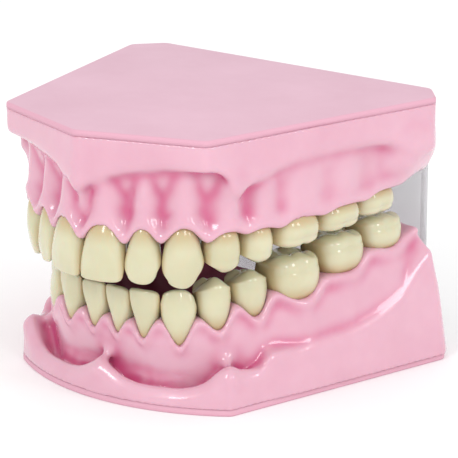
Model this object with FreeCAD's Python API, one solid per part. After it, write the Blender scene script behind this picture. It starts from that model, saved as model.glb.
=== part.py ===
"""Dental study model (typodont): two gum-and-base castings with 32 separate teeth, a flat cover plate on
each base, and a clear flexible sheet across the back that serves as the jaw hinge.

Frame, in millimetres: +Z up, the front teeth face -Y, +X is the model's own left side. The origin is the
centre of the lower jaw's bottom face.
"""

import FreeCAD
import Part

import bisect
import math
import os

Vec = FreeCAD.Vector

# ---- driving dimensions, mm ----
MODEL_HEIGHT = 54.0
BACK_Y = 31.0  # plane of both jaws' back faces, where the hinge sheet lies
COVER_THICKNESS = 1.2
FIT_GAP = 0.12  # between a tooth and its socket, and between neighbouring crowns

# upper base outline, seen from above: front point, canine corner, then the heel cut at the back corner
UPPER_FRONT_Y = -36.8
UPPER_CANINE = (24.7, -28.4)
UPPER_HEEL_SIDE = (38.6, 25.2)
UPPER_HEEL_BACK = (33.6, BACK_Y)
UPPER_SKIRT_Z = 46.2  # where the base wall ends and the gum begins
FRENUM_DROP = 3.8  # how far the front point and corners reach below the skirt

# lower base outline: an arc across the front, then straight sides
LOWER_FRONT_Y = -31.7
LOWER_CANINE = (26.4, -23.3)
LOWER_HEEL = (39.9, 28.0)
LOWER_HEEL_BACK = (38.2, BACK_Y)
LOWER_DRAFT = 1.6  # the lower walls lean in by this much at RIM_TOP_Z
RIM_TOP_Z = 28.0

# tooth sockets, pockets and screws
PEG_LENGTH = 6.0
UPPER_POCKET_Z = 48.2
LOWER_POCKET_Z = 4.0
UPPER_POCKET_OUT = (-2.2, 2.0)  # the pocket's wall, out from the contact line, at the front and at the back
LOWER_POCKET_OUT = (-2.6, 4.0)
UPPER_POCKET_END_Y = 26.5
LOWER_POCKET_END_Y = 27.5
LIP_HEIGHT = 1.2
LIP_WIDTH = 1.2
LIP_GAP = 0.2
SCREW_R = 0.8
SCREW_HEAD_R = 1.5
SCREW_HEAD_H = 1.1
SCREW_BITE = 4.0  # how far a tooth screw reaches into its peg
SCREW_SLIP = 0.06

# hinge sheet
SHEET_THICKNESS = 1.0
SHEET_HALF_WIDTH = 32.5
SHEET_LOW_Z = 2.0
SHEET_HIGH_Z = 51.0
LOWER_BEND_Z = 28.4
UPPER_BEND_Z = 35.1
BEND_SLIT = 0.1
HINGE_SCREW_X = (-24.0, 0.0, 24.0)
HINGE_SCREW_LOW_Z = 6.5
HINGE_SCREW_HIGH_Z = 49.0
HINGE_SCREW_R = 1.25
HINGE_SCREW_LENGTH = 6.5
HINGE_HEAD_R = 2.6
HINGE_HEAD_H = 1.5
WASHER_R = 3.5
WASHER_T = 0.5

# Each arch: contact line y = front + a x^2 + b x^4 + c x^6, and its teeth from the midline back.
# Tooth: name, mesiodistal width, buccolingual depth, how far the crown's centre and the peg's centre are in
# from the contact line, height of the tip, height of the neck, kind.
UPPER_ARCH = {
    "front": -35.4,
    "a": 0.0311,
    "b": -5.89e-5,
    "c": 1.206e-7,
    "side": -1,
    "teeth": (
        ("central_incisor", 9.2, 7.4, 2.7, 5.3, 25.2, 35.4, "incisor"),
        ("lateral_incisor", 7.1, 6.6, 2.5, 5.0, 25.3, 35.5, "incisor"),
        ("canine", 8.2, 8.4, 2.4, 4.4, 24.6, 35.8, "canine"),
        ("first_premolar", 7.3, 9.6, 1.6, 2.8, 26.8, 34.8, "premolar"),
        ("second_premolar", 7.2, 9.6, 1.2, 2.0, 27.6, 34.5, "premolar"),
        ("first_molar", 10.3, 11.4, 0.6, 1.0, 29.3, 35.1, "molar"),
        ("second_molar", 11.0, 11.2, 0.4, 0.6, 30.4, 35.6, "molar"),
        ("third_molar", 10.3, 10.4, 0.3, 0.5, 31.3, 36.3, "molar"),
    ),
}
LOWER_ARCH = {
    "front": -27.9,
    "a": -0.0041,
    "b": 8.59e-5,
    "c": 0.0,
    "side": 1,
    "teeth": (
        ("central_incisor", 5.9, 6.2, 2.0, 4.4, 22.4, 13.4, "incisor"),
        ("lateral_incisor", 6.4, 6.6, 2.1, 4.5, 22.8, 13.4, "incisor"),
        ("canine", 6.9, 8.0, 2.2, 4.4, 23.1, 12.6, "canine"),
        ("first_premolar", 7.2, 8.2, 1.5, 2.8, 25.0, 15.4, "premolar"),
        ("second_premolar", 7.8, 8.6, 1.1, 2.0, 25.4, 16.9, "premolar"),
        ("first_molar", 11.6, 10.8, 0.5, 1.0, 27.4, 19.0, "molar"),
        ("second_molar", 11.5, 10.6, 0.3, 0.6, 29.2, 22.0, "molar"),
        ("third_molar", 10.8, 10.0, 0.2, 0.5, 30.6, 24.0, "molar"),
    ),
}

# Crown sections for each kind, from the neck to the tip:
# height, half width, half depth, all as shares of the crown, and how far the section leans to the cheek.
CROWN_SECTIONS = {
    "incisor": (
        (0.00, 0.37, 0.42, -0.12),
        (0.28, 0.45, 0.47, -0.04),
        (0.60, 0.50, 0.36, 0.03),
        (0.85, 0.49, 0.21, 0.08),
        (1.00, 0.44, 0.10, 0.10),
    ),
    "canine": (
        (0.00, 0.37, 0.42, -0.08),
        (0.28, 0.46, 0.49, -0.03),
        (0.58, 0.50, 0.42, 0.02),
        (0.82, 0.38, 0.28, 0.05),
        (1.00, 0.12, 0.11, 0.06),
    ),
    "premolar": (
        (0.00, 0.38, 0.42, 0.00),
        (0.30, 0.46, 0.49, 0.00),
        (0.60, 0.50, 0.49, 0.00),
        (0.84, 0.45, 0.41, 0.00),
        (1.00, 0.30, 0.28, 0.00),
    ),
    "molar": (
        (0.00, 0.43, 0.44, 0.00),
        (0.30, 0.48, 0.49, 0.00),
        (0.62, 0.50, 0.49, 0.00),
        (0.86, 0.47, 0.43, 0.00),
        (1.00, 0.39, 0.33, 0.00),
    ),
}
ROUNDNESS = {"incisor": 2.2, "canine": 2.1, "premolar": 2.4, "molar": 2.9}
PEG_SHARE = (0.31, 0.27)  # the peg's half axes, as shares of the crown's width and depth
SECTION_POINTS = 16
TABLE_STEP = 0.05

# How far the gum stands out from and in from the contact line: height, front, back
UPPER_GUM_OUT = ((48.0, -2.0, 5.0), (42.0, -2.0, 6.0), (37.0, -1.2, 6.0), (31.0, 0.0, 5.2))
UPPER_GUM_IN = ((43.5, 12.0, 13.0), (41.0, 9.4, 10.0), (37.0, 7.8, 7.4), (32.0, 6.2, 6.2), (27.0, 5.8, 5.8))
LOWER_GUM_OUT = ((1.5, -2.4, 8.6), (6.0, -2.0, 8.4), (12.0, -0.6, 7.4), (18.0, 0.2, 5.8), (27.0, 0.2, 5.0))
LOWER_GUM_IN = ((9.0, 9.6, 9.6), (13.0, 7.8, 8.2), (19.0, 6.2, 6.8), (30.0, 5.4, 6.0))
UPPER_GUM_END_Y = 28.5
LOWER_GUM_END_Y = 29.5

# Side profiles (y, z) of the gum's crest and of the lower base's top
UPPER_CREST = ((-40.0, 33.4), (-24.0, 33.4), (-8.0, 34.2), (10.0, 35.0), (32.0, 37.0))
LOWER_CREST = ((-34.0, 15.2), (-20.0, 16.6), (-6.0, 19.8), (8.0, 23.2), (20.0, 25.2), (32.0, 27.4))
LOWER_SIDE_TOP = ((-34.0, 6.2), (-23.0, 7.6), (-12.0, 9.6), (4.0, 10.8), (18.0, 14.6), (26.0, 21.0), (32.0, 26.6))
TROUGH_FLOOR_Z = 5.2
TROUGH_BACK_Y = -15.0
RIM_WIDTH = 2.6


# ---- arch geometry ----
def contact_y(arch, x):
    return arch["front"] + arch["a"] * x**2 + arch["b"] * x**4 + arch["c"] * x**6


def contact_slope(arch, x):
    return 2 * arch["a"] * x + 4 * arch["b"] * x**3 + 6 * arch["c"] * x**5


def arch_point(arch, x):
    """Point of the contact line at x, and the outward normal there."""
    slope = contact_slope(arch, x)
    length = math.hypot(1.0, slope)
    return Vec(x, contact_y(arch, x), 0), Vec(slope / length, -1.0 / length, 0)


def length_table(arch):
    """Lengths along the contact line from the midline, at steps of TABLE_STEP in x."""
    lengths = [0.0]
    while lengths[-1] < 90:
        slope = contact_slope(arch, (len(lengths) - 0.5) * TABLE_STEP)
        lengths.append(lengths[-1] + TABLE_STEP * math.hypot(1.0, slope))
    return lengths


def arch_place(arch, s, d, z):
    """Point at length s along the contact line (minus on the right side) and d out from it."""
    lengths = arch["lengths"]
    i = bisect.bisect_left(lengths, abs(s))
    i = max(i, 1)
    share = (abs(s) - lengths[i - 1]) / (lengths[i] - lengths[i - 1])
    base, outward = arch_point(arch, math.copysign((i - 1 + share) * TABLE_STEP, s))
    return Vec(base.x + outward.x * d, base.y + outward.y * d, z)


def arch_end_x(arch, end_y):
    """x where the contact line reaches end_y."""
    x = 0.0
    while contact_y(arch, x) < end_y:
        x += 0.02
    return x


def offset_outline(arch, end_y, z, front, back, outward):
    """Closed wire: the contact line moved out (or in) by front to back, joined straight across the rear."""
    end_x = arch_end_x(arch, end_y)
    sign = 1 if outward else -1
    count = 17
    points = []
    for i in range(count):
        t = -1 + 2 * i / (count - 1)
        x = end_x * math.sin(t * math.pi / 2)
        base, normal = arch_point(arch, x)
        share = (base.y - arch["front"]) / (end_y - arch["front"])
        offset = front + (back - front) * share**0.6
        p = base + normal * (offset * sign)
        points.append(Vec(p.x, p.y, z))
    curve = Part.BSplineCurve()
    curve.interpolate(points)
    rear = Part.LineSegment(points[-1], points[0])
    return Part.Wire([curve.toShape(), rear.toShape()])


def gum_loft(arch, end_y, levels, outward):
    wires = [offset_outline(arch, end_y, z, front, back, outward) for z, front, back in levels]
    return Part.makeLoft(wires, True)


def side_profile(points, far_z):
    """Solid across the whole width between a (y, z) profile and the level far_z."""
    half = 60.0
    line = Part.BSplineCurve()
    line.interpolate([Vec(-half, y, z) for y, z in points])
    first, last = points[0], points[-1]
    corner_a = Vec(-half, last[0], far_z)
    corner_b = Vec(-half, first[0], far_z)
    edges = [
        line.toShape(),
        Part.makeLine(Vec(-half, *last), corner_a),
        Part.makeLine(corner_a, corner_b),
        Part.makeLine(corner_b, Vec(-half, *first)),
    ]
    return Part.Face(Part.Wire(edges)).extrude(Vec(2 * half, 0, 0))


# ---- base outlines ----
def upper_outline(z):
    (cx, cy), (sx, sy), (bx, by) = UPPER_CANINE, UPPER_HEEL_SIDE, UPPER_HEEL_BACK
    right = [(0, UPPER_FRONT_Y), (cx, cy), (sx, sy), (bx, by)]
    left = [(-x, y) for x, y in reversed(right[1:])]
    return Part.makePolygon([Vec(x, y, z) for x, y in right + left + right[:1]])


def lower_outline(z, inset=0.0):
    (cx, cy), (hx, hy), (bx, by) = LOWER_CANINE, LOWER_HEEL, LOWER_HEEL_BACK
    front = Part.Arc(Vec(-cx, cy, z), Vec(0, LOWER_FRONT_Y, z), Vec(cx, cy, z)).toShape()
    corners = [Vec(cx, cy, z), Vec(hx, hy, z), Vec(bx, by, z), Vec(-bx, by, z), Vec(-hx, hy, z), Vec(-cx, cy, z)]
    lines = [Part.makeLine(a, b) for a, b in zip(corners, corners[1:])]
    wire = Part.Wire([front] + lines)
    return wire if not inset else wire.makeOffset2D(-inset)


def prism(wire, height):
    return Part.Face(wire).extrude(Vec(0, 0, height))


def round_uprights(solid, radius):
    """Rounds the edges that stand upright, where walls meet."""
    upright = []
    for edge in solid.Edges:
        a, b = edge.Vertexes[0].Point, edge.Vertexes[-1].Point
        if abs(a.z - b.z) > 0.6 * a.distanceToPoint(b) and abs(a.z - b.z) > 0.5:
            upright.append(edge)
    return solid.makeFillet(radius, upright)


# ---- teeth ----
class Tooth:
    """One tooth's sizes, and its middle s along the arch."""

    def __init__(self, arch, label, s, sizes):
        self.arch = arch
        self.side = arch["side"]  # +1 when the crown stands above its peg
        self.label = label
        self.s = s
        self.width, self.depth, self.inset, self.peg_inset, self.tip, self.neck, self.kind = sizes
        self.root_z = self.neck - self.side * PEG_LENGTH
        self.peg_centre = arch_place(arch, s, -self.peg_inset, 0)


def teeth_of(arch):
    teeth = []
    run = 0.0
    for name, *sizes in arch["teeth"]:
        s = run + sizes[0] / 2
        run += sizes[0]
        teeth.append(Tooth(arch, "left_" + name, s, sizes))
        teeth.append(Tooth(arch, "right_" + name, -s, sizes))
    return teeth


def section_wire(tooth, z, half_width, half_depth, out, power):
    """Closed smooth wire: a superellipse that follows the arch, its middle this far out from the contact line."""
    points = []
    for i in range(SECTION_POINTS):
        t = 2 * math.pi * i / SECTION_POINTS
        c, s = math.cos(t), math.sin(t)
        u = half_width * math.copysign(abs(c) ** (2 / power), c)
        v = half_depth * math.copysign(abs(s) ** (2 / power), s)
        points.append(arch_place(tooth.arch, tooth.s + u, out + v, z))
    curve = Part.BSplineCurve()
    curve.interpolate(Points=points, PeriodicFlag=True)
    return Part.Wire([curve.toShape()])


def crown(tooth, grow=0.0, top=1.0):
    """Crown loft from the neck up to the share top of its height, with grow added all round."""
    wires = []
    for share, half_w, half_d, lean in CROWN_SECTIONS[tooth.kind]:
        if share > top:
            break
        z = tooth.neck + (tooth.tip - tooth.neck) * share
        half_width = half_w * tooth.width - FIT_GAP / 2 + grow
        half_depth = half_d * tooth.depth + grow
        out = lean * tooth.depth - tooth.inset
        wires.append(section_wire(tooth, z, half_width, half_depth, out, ROUNDNESS[tooth.kind]))
    return Part.makeLoft(wires, True)


def peg(tooth, grow=0.0):
    """Oval peg that runs from just inside the crown into the socket."""
    half_w = PEG_SHARE[0] * tooth.width + grow
    half_d = PEG_SHARE[1] * tooth.depth + grow
    levels = (tooth.root_z - tooth.side * grow, tooth.neck + tooth.side * 0.8)
    wires = [section_wire(tooth, z, half_w, half_d, -tooth.peg_inset, 2.0) for z in levels]
    return Part.makeLoft(wires, True)


def groove_wedge(tooth, across, deep, spread, length):
    """Triangular prism, square to across, its point deep below the tip."""
    run = Vec(-across.y, across.x, 0)
    centre = arch_place(tooth.arch, tooth.s, -tooth.inset, 0)
    start = centre - run * length
    high_a = start + across * spread * 2
    high_b = start - across * spread * 2
    low = Vec(start.x, start.y, tooth.tip - tooth.side * deep)
    over = tooth.tip + tooth.side * deep
    corners = [low, Vec(high_a.x, high_a.y, over), Vec(high_b.x, high_b.y, over), low]
    return Part.Face(Part.makePolygon(corners)).extrude(run * (2 * length))


def occlusal_grooves(tooth):
    """Wedges that part the cusps: one along the arch, and one across a molar."""
    outward = arch_place(tooth.arch, tooth.s, 1, 0) - arch_place(tooth.arch, tooth.s, 0, 0)
    along = Vec(-outward.y, outward.x, 0)
    deep = 1.3 if tooth.kind == "molar" else 1.0
    cuts = [groove_wedge(tooth, outward, deep, 0.16 * tooth.depth, tooth.width)]
    if tooth.kind == "molar":
        cuts.append(groove_wedge(tooth, along, 0.9 * deep, 0.10 * tooth.width, tooth.depth))
    return cuts


def tooth_solid(tooth):
    """Crown and peg in one solid, bored for its retaining screw."""
    solid = crown(tooth).fuse(peg(tooth))
    if tooth.kind in ("premolar", "molar"):
        solid = solid.cut(occlusal_grooves(tooth))
    ends = (tooth.root_z - tooth.side, tooth.root_z + tooth.side * SCREW_BITE)
    return solid.cut(upright_rod(tooth, SCREW_R + SCREW_SLIP, *ends)).removeSplitter()


def upright_rod(tooth, radius, z_a, z_b):
    at = Vec(tooth.peg_centre.x, tooth.peg_centre.y, min(z_a, z_b))
    return Part.makeCylinder(radius, abs(z_b - z_a), at)


def tooth_screw(tooth, pocket_z):
    """Pan-head screw from the pocket through to the peg."""
    side = tooth.side
    end_z = tooth.root_z + side * (SCREW_BITE - 0.4)
    outer_z = pocket_z - side * SCREW_HEAD_H
    shank = upright_rod(tooth, SCREW_R, pocket_z, end_z)
    head = upright_rod(tooth, SCREW_HEAD_R, outer_z, pocket_z)
    slot_z = min(outer_z, outer_z + side * 0.4)
    corner = Vec(tooth.peg_centre.x - SCREW_HEAD_R, tooth.peg_centre.y - 0.25, slot_z)
    return shank.fuse(head).cut(Part.makeBox(2 * SCREW_HEAD_R, 0.5, 0.4, corner))


def socket_cuts(tooth, pocket_z):
    """What a tooth takes out of its jaw: crown recess, peg socket and screw hole."""
    hole = upright_rod(tooth, SCREW_R + SCREW_SLIP, tooth.root_z + tooth.side, pocket_z - tooth.side)
    return [crown(tooth, grow=FIT_GAP, top=0.7), peg(tooth, grow=FIT_GAP), hole]


# ---- jaws ----
def hinge_holes(z):
    depth = HINGE_SCREW_LENGTH + 0.5
    return [Part.makeCylinder(HINGE_SCREW_R, depth, Vec(x, BACK_Y, z), Vec(0, -1, 0)) for x in HINGE_SCREW_X]


def pocket(arch, end_y, out, low, high, shrink=0.0):
    """Hollow behind a cover plate that gives access to the tooth screws."""
    wire = offset_outline(arch, end_y - shrink, low, out[0] - shrink, out[1] - shrink, True)
    return prism(wire, high - low)


def upper_jaw(teeth):
    cover_z = MODEL_HEIGHT - COVER_THICKNESS
    base = round_uprights(prism(upper_outline(UPPER_SKIRT_Z), cover_z - UPPER_SKIRT_Z), 1.6)
    gum = gum_loft(UPPER_ARCH, UPPER_GUM_END_Y, UPPER_GUM_OUT, True)
    gum = gum.common(side_profile(UPPER_CREST, cover_z - 1))
    skirt = prism(upper_outline(UPPER_SKIRT_Z - FRENUM_DROP), FRENUM_DROP)
    skirt = skirt.common(frenum_blocks())
    jaw = base.fuse([gum, skirt])
    jaw = jaw.cut(gum_loft(UPPER_ARCH, BACK_Y + 6, UPPER_GUM_IN, False))
    hollow = pocket(UPPER_ARCH, UPPER_POCKET_END_Y, UPPER_POCKET_OUT, UPPER_POCKET_Z, cover_z)
    tools = [hollow] + hinge_holes(HINGE_SCREW_HIGH_Z)
    for tooth in teeth:
        tools += socket_cuts(tooth, UPPER_POCKET_Z)
    return jaw.cut(tools)


def frenum_blocks():
    """Where the upper wall reaches lower: at the front point, the canine corners and the heels."""
    spots = [(0, UPPER_FRONT_Y), UPPER_CANINE, (-UPPER_CANINE[0], UPPER_CANINE[1])]
    low = UPPER_SKIRT_Z - FRENUM_DROP
    cones = [Part.makeCone(2.2, 6.0, FRENUM_DROP, Vec(x, y, low)) for x, y in spots]
    return cones[0].fuse(cones[1:])


def lower_jaw(teeth):
    wires = [lower_outline(COVER_THICKNESS), lower_outline(RIM_TOP_Z, LOWER_DRAFT)]
    walls = round_uprights(Part.makeLoft(wires, True), 1.6)
    base = walls.common(side_profile(LOWER_SIDE_TOP, -2))
    gum = gum_loft(LOWER_ARCH, LOWER_GUM_END_Y, LOWER_GUM_OUT, True)
    gum = gum.common(side_profile(LOWER_CREST, 0))
    jaw = base.cut(trough()).fuse(gum)
    jaw = jaw.cut(gum_loft(LOWER_ARCH, BACK_Y + 6, LOWER_GUM_IN, False))
    hollow = pocket(LOWER_ARCH, LOWER_POCKET_END_Y, LOWER_POCKET_OUT, COVER_THICKNESS, LOWER_POCKET_Z)
    tools = [hollow] + hinge_holes(HINGE_SCREW_LOW_Z)
    for tooth in teeth:
        tools += socket_cuts(tooth, LOWER_POCKET_Z)
    return jaw.cut(tools)


def trough():
    """Groove between the front rim of the lower base and the gum."""
    inner = prism(lower_outline(TROUGH_FLOOR_Z, RIM_WIDTH), 30)
    front = Part.makeBox(100, 30, 40, Vec(-50, TROUGH_BACK_Y - 30, 0))
    return inner.common(front)


# ---- cover plates and hinge ----
def cover_plate(outline, arch, end_y, out, z):
    """Plate flush with the walls, with a locating lip that reaches into the pocket."""
    plate = round_uprights(prism(outline, COVER_THICKNESS), 1.6)
    low = z + COVER_THICKNESS if arch["side"] > 0 else z - LIP_HEIGHT
    high = low + LIP_HEIGHT
    outer = pocket(arch, end_y, out, low, high, LIP_GAP)
    inner = pocket(arch, end_y, out, low, high, LIP_GAP + LIP_WIDTH)
    return plate.fuse(outer.cut(inner))


def upper_cover():
    z = MODEL_HEIGHT - COVER_THICKNESS
    return cover_plate(upper_outline(z), UPPER_ARCH, UPPER_POCKET_END_Y, UPPER_POCKET_OUT, z)


def lower_cover():
    return cover_plate(lower_outline(0), LOWER_ARCH, LOWER_POCKET_END_Y, LOWER_POCKET_OUT, 0)


def sheet_part(low, high, screw_z=None):
    """One run of the clear sheet, with slots for the hinge screws where it has them."""
    part = Part.makeBox(2 * SHEET_HALF_WIDTH, SHEET_THICKNESS, high - low, Vec(-SHEET_HALF_WIDTH, BACK_Y, low))
    if screw_z is None:
        return part
    radius = HINGE_SCREW_R + 0.15
    holes = [Part.makeCylinder(radius, 3, Vec(x, BACK_Y - 1, screw_z), Vec(0, 1, 0)) for x in HINGE_SCREW_X]
    return part.cut(holes)


def hinge_screw(x, z):
    """Pan-head screw, its head on the washer behind the sheet."""
    face = BACK_Y + SHEET_THICKNESS + WASHER_T
    total = HINGE_SCREW_LENGTH + SHEET_THICKNESS + WASHER_T
    shank = Part.makeCylinder(HINGE_SCREW_R - SCREW_SLIP, total, Vec(x, face, z), Vec(0, -1, 0))
    head = Part.makeCylinder(HINGE_HEAD_R, HINGE_HEAD_H, Vec(x, face, z), Vec(0, 1, 0))
    head = head.makeFillet(0.5, [e for e in head.Edges if abs(e.CenterOfMass.y - face - HINGE_HEAD_H) < 1e-3])
    slots = [
        Part.makeBox(3.2, 1, 0.7, Vec(x - 1.6, face + HINGE_HEAD_H - 0.8, z - 0.35)),
        Part.makeBox(0.7, 1, 3.2, Vec(x - 0.35, face + HINGE_HEAD_H - 0.8, z - 1.6)),
    ]
    return shank.fuse(head).cut(slots)


def washer(x, z):
    at = Vec(x, BACK_Y + SHEET_THICKNESS, z)
    ring = Part.makeCylinder(WASHER_R, WASHER_T, at, Vec(0, 1, 0))
    return ring.cut(Part.makeCylinder(HINGE_SCREW_R + 0.1, WASHER_T, at, Vec(0, 1, 0)))


def save(name, shape):
    solids = shape.Solids
    shape = solids[0] if len(solids) == 1 else Part.makeCompound(solids)
    print(f"{name}: {len(solids)} solid, valid {shape.isValid()}, {shape.Volume:.0f} mm3")
    shape.exportStep(f"parts/{name}.step")


def main():
    os.makedirs("parts", exist_ok=True)
    jaws = (
        ("upper", UPPER_ARCH, UPPER_POCKET_Z, upper_jaw),
        ("lower", LOWER_ARCH, LOWER_POCKET_Z, lower_jaw),
    )
    for jaw, arch, pocket_z, make_jaw in jaws:
        arch["lengths"] = length_table(arch)
        teeth = teeth_of(arch)
        for tooth in teeth:
            save(f"{jaw}_{tooth.label}", tooth_solid(tooth))
        save(f"{jaw}_tooth_screws", Part.makeCompound([tooth_screw(tooth, pocket_z) for tooth in teeth]))
        save(f"{jaw}_jaw", make_jaw(teeth))
    save("upper_cover_plate", upper_cover())
    save("lower_cover_plate", lower_cover())
    save("hinge_sheet_lower", sheet_part(SHEET_LOW_Z, LOWER_BEND_Z, HINGE_SCREW_LOW_Z))
    save("hinge_sheet_middle", sheet_part(LOWER_BEND_Z + BEND_SLIT, UPPER_BEND_Z))
    save("hinge_sheet_upper", sheet_part(UPPER_BEND_Z + BEND_SLIT, SHEET_HIGH_Z, HINGE_SCREW_HIGH_Z))
    for jaw, z in (("lower", HINGE_SCREW_LOW_Z), ("upper", HINGE_SCREW_HIGH_Z)):
        save(f"{jaw}_hinge_screws", Part.makeCompound([hinge_screw(x, z) for x in HINGE_SCREW_X]))
        save(f"{jaw}_hinge_washers", Part.makeCompound([washer(x, z) for x in HINGE_SCREW_X]))


main()
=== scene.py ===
"""Looks of the typodont model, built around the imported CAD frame.

Shapes are worked out in millimetres and turned into metres when a mesh is made. Teeth and gums share one
arch coordinate system: s runs along the line of tooth contacts from the midline (plus on the model's left),
and d is the distance out from it, towards the lips and cheeks.
"""

import math

import bmesh
import bpy
import numpy as np
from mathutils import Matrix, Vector


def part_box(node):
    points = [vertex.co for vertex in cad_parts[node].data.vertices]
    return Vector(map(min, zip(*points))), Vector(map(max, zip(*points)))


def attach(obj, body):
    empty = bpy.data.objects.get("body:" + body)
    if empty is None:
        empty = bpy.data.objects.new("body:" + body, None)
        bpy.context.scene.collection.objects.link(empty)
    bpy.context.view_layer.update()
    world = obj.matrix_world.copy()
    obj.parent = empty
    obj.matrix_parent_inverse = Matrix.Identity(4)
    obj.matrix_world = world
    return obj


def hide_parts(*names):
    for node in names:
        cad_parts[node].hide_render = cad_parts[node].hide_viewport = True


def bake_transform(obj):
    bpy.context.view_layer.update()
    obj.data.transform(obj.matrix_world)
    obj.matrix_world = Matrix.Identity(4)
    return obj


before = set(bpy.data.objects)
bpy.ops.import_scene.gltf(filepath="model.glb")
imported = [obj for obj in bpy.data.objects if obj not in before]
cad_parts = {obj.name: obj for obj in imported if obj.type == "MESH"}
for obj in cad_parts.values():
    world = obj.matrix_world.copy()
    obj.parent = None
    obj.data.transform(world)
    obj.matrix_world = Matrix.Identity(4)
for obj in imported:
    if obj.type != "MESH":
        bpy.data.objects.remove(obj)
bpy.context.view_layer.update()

MM = 0.001
GRID = 0.42  # cell of the gum grids
SURFACE_ROUNDS = 7  # smoothing rounds on a gum mesh's points, and on how hollow each is
CAVITY_ROUNDS = 12
SIDES = (("left", 1), ("right", -1))
TROUGH_FLOOR_Z = 2.5
MOUTH_FLOOR_Z = 9.0
UPPER_POCKET_Z = 48.2
LOWER_POCKET_Z = 4.0
# Screw pockets: how far out of the contact line the wall is at the front and at the back, and its end in y
UPPER_POCKET = (-2.2, 2.0, 26.5)
LOWER_POCKET = (-2.6, 4.0, 27.5)
POCKET_SKIN = 1.2  # gum left outside the pocket
UPPER_CORNER_ROUND = 2.2  # radius of the bases' upright corners
LOWER_CORNER_ROUND = 1.9
SOCKET_FOOT = -0.1  # share of the crown's height down to which its socket has the crown's shape
SOCKET_TUCK = 0.08  # how far the gum reaches into a crown, so that no gap shows
SHEET_STEP = 0.6  # spacing of the sheet's rows

UPPER_BODY, STRIP_BODY, LOWER_BODY = "upper_body", "hinge_strip", "lower_body"


def box_mm(node):
    low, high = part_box(node)
    return np.array(low) / MM, np.array(high) / MM


TOP_Z = box_mm("upper_cover_plate")[1][2]
UPPER_SEAM_Z = box_mm("upper_jaw")[1][2]
LOWER_SEAM_Z = box_mm("lower_jaw")[0][2]
BACK_Y = box_mm("lower_jaw")[1][1]


# ---- the two arches ----
class Arch:
    """Contact line y = front + a x^2 + b x^4 + c x^6."""

    def __init__(self, front, a, b, c, side, reach):
        self.side = side  # +1 when the crowns stand above the gum
        self.x = np.linspace(-reach, reach, 1401)
        self.y = front + a * self.x**2 + b * self.x**4 + c * self.x**6
        slope = 2 * a * self.x + 4 * b * self.x**3 + 6 * c * self.x**5
        norm = np.hypot(1.0, slope)
        self.tangent = np.stack([1 / norm, slope / norm], 1)
        self.normal = np.stack([slope / norm, -1 / norm], 1)
        run = np.concatenate([[0], np.cumsum(np.hypot(np.diff(self.x), np.diff(self.y)))])
        self.s = run - np.interp(0, self.x, run)

    def place(self, s, d):
        """x and y of arch coordinates."""
        at = [np.interp(s, self.s, v) for v in (self.x, self.y, self.normal[:, 0], self.normal[:, 1])]
        return at[0] + at[2] * d, at[1] + at[3] * d

    def coords(self, x, y):
        """Arch coordinates of points."""
        flat = np.stack([x.ravel(), y.ravel()], 1)
        near = np.empty(len(flat), int)
        for start in range(0, len(flat), 8192):
            part = flat[start:start + 8192]
            gap = (part[:, :1] - self.x) ** 2 + (part[:, 1:] - self.y) ** 2
            near[start:start + 8192] = gap.argmin(1)
        off = flat - np.stack([self.x, self.y], 1)[near]
        s = self.s[near] + (off * self.tangent[near]).sum(1)
        d = (off * self.normal[near]).sum(1)
        return s.reshape(x.shape), d.reshape(x.shape)


UPPER = Arch(-35.4, 0.0311, -5.89e-5, 1.206e-7, -1, 32.0)
LOWER = Arch(-27.9, -0.0041, 8.59e-5, 0.0, 1, 34.6)

# Tooth: width, depth, how far in the crown's and the peg's centres are, heights of the neck and of the gum's
# edge at the middle of the tooth, and which crown shape it has.
UPPER_TEETH = {
    "central_incisor": (9.2, 7.4, 2.7, 5.3, 35.4, 35.7, "upper_central"),
    "lateral_incisor": (7.1, 6.6, 2.5, 5.0, 35.5, 35.8, "upper_lateral"),
    "canine": (8.2, 8.4, 2.4, 4.4, 35.8, 36.3, "upper_canine"),
    "first_premolar": (7.3, 9.6, 1.6, 2.8, 34.8, 35.1, "upper_premolar"),
    "second_premolar": (7.2, 9.6, 1.2, 2.0, 34.5, 34.7, "upper_premolar"),
    "first_molar": (10.3, 11.4, 0.6, 1.0, 35.1, 35.3, "upper_molar"),
    "second_molar": (11.0, 11.2, 0.4, 0.6, 35.6, 35.7, "upper_molar"),
    "third_molar": (10.3, 10.4, 0.3, 0.5, 36.3, 36.4, "upper_molar"),
}
LOWER_TEETH = {
    "central_incisor": (5.9, 6.2, 2.0, 4.4, 13.4, 13.0, "lower_incisor"),
    "lateral_incisor": (6.4, 6.6, 2.1, 4.5, 13.4, 13.1, "lower_incisor"),
    "canine": (6.9, 8.0, 2.2, 4.4, 12.6, 12.1, "lower_canine"),
    "first_premolar": (7.2, 8.2, 1.5, 2.8, 15.4, 15.1, "lower_premolar"),
    "second_premolar": (7.8, 8.6, 1.1, 2.0, 16.9, 16.5, "lower_premolar"),
    "first_molar": (11.6, 10.8, 0.5, 1.0, 19.0, 18.7, "lower_molar"),
    "second_molar": (11.5, 10.6, 0.3, 0.6, 22.0, 21.8, "lower_molar"),
    "third_molar": (10.8, 10.0, 0.2, 0.5, 24.0, 24.4, "lower_molar"),
}
# Heights of the gum's points between the teeth, from the midline to behind the last molar
UPPER_PAPILLAE = (32.5, 32.5, 33.2, 33.3, 34.1, 34.1, 34.8, 35.3, 36.8)
LOWER_PAPILLAE = (16.3, 16.5, 17.4, 17.6, 19.4, 20.8, 21.8, 24.7, 25.8)

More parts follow.
